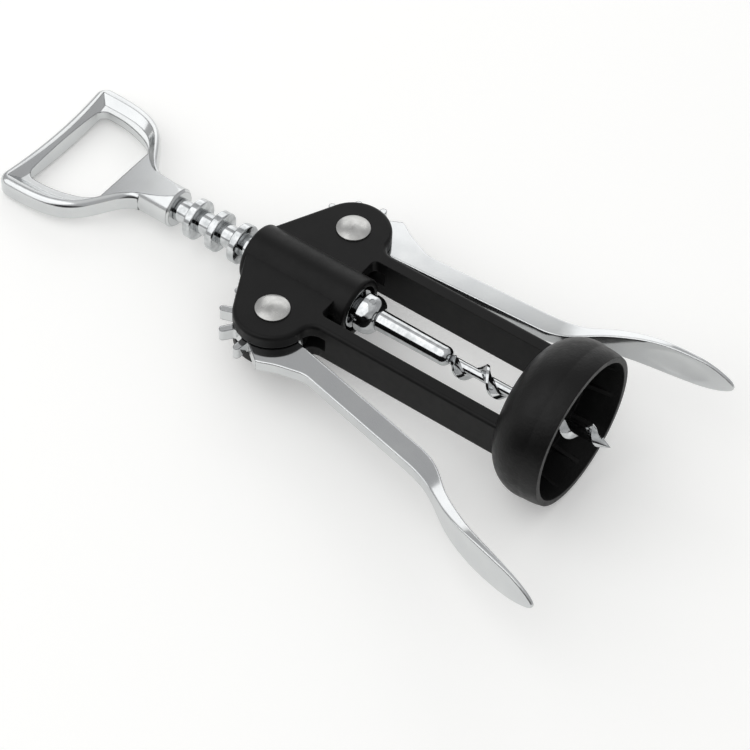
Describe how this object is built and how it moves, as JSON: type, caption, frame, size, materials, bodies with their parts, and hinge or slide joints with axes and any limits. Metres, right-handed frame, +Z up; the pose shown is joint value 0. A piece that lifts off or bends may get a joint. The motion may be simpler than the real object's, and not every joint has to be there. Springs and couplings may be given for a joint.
{
  "type": "wing corkscrew",
  "caption": "Wing corkscrew with two toothed levers on a ring rack, a bottle-opener handle, a pointed worm and a black frame with a bell.",
  "frame": {"origin": "middle of the footprint, on the surface that the corkscrew lies on", "axes": "+Y from the worm's point towards the handle, +Z up through the face with the rivet heads, +X across to the right-hand lever; the screw's axis slopes down to the handle by the angle at which the tool lies on its bell and handle"},
  "size_m": [0.0848, 0.1864, 0.0419],
  "materials": {
    "black_nylon": "moulded, satin",
    "black_soft_plastic": "moulded, matte",
    "satin_steel": "satin",
    "lever_chrome": "polished chrome plate",
    "rack_chrome": "turned and chrome plated",
    "handle_chrome": "polished chrome plate",
    "worm_chrome": "polished chrome plate"
  },
  "bodies": {
    "frame": {"body_frame": "black_nylon", "bell_collar": "black_soft_plastic", "rivet_left": "satin_steel", "rivet_right": "satin_steel", "rivet_cap_left": "satin_steel", "rivet_cap_right": "satin_steel"},
    "lever_left": {"lever_left": "lever_chrome"},
    "lever_right": {"lever_right": "lever_chrome"},
    "rack": {"ring_rack": "rack_chrome"},
    "handle_screw": {"opener_handle": "handle_chrome", "worm": "worm_chrome", "end_bead": "rack_chrome", "bead_pin": "satin_steel"}
  },
  "joints": [
    {"name": "lever_left_pivot", "type": "hinge", "parent": "frame", "child": "lever_left", "pos_m": [-0.00914, 0.00836, 0.01254], "axis": [0, -0.1142, -0.9935], "range_deg": [-4, 140]},
    {"name": "lever_right_pivot", "type": "hinge", "parent": "frame", "child": "lever_right", "pos_m": [0.02486, 0.00836, 0.01254], "axis": [0, 0.1142, 0.9935], "range_deg": [-4, 140]},
    {"name": "rack_slide", "type": "slide", "parent": "frame", "child": "rack", "axis": [0, -0.9935, 0.1142], "range_m": [-0.00091, 0.03153]},
    {"name": "handle_spin", "type": "hinge", "parent": "rack", "child": "handle_screw", "pos_m": [0.00786, 0.00836, 0.01254], "axis": [0, -0.9935, 0.1142], "continuous": true}
  ],
  "couplings": [
    {"joint": "rack_slide", "follows": "lever_left_pivot", "m_per_rad": 0.0129},
    {"joint": "lever_right_pivot", "follows": "lever_left_pivot", "ratio": 1}
  ]
}
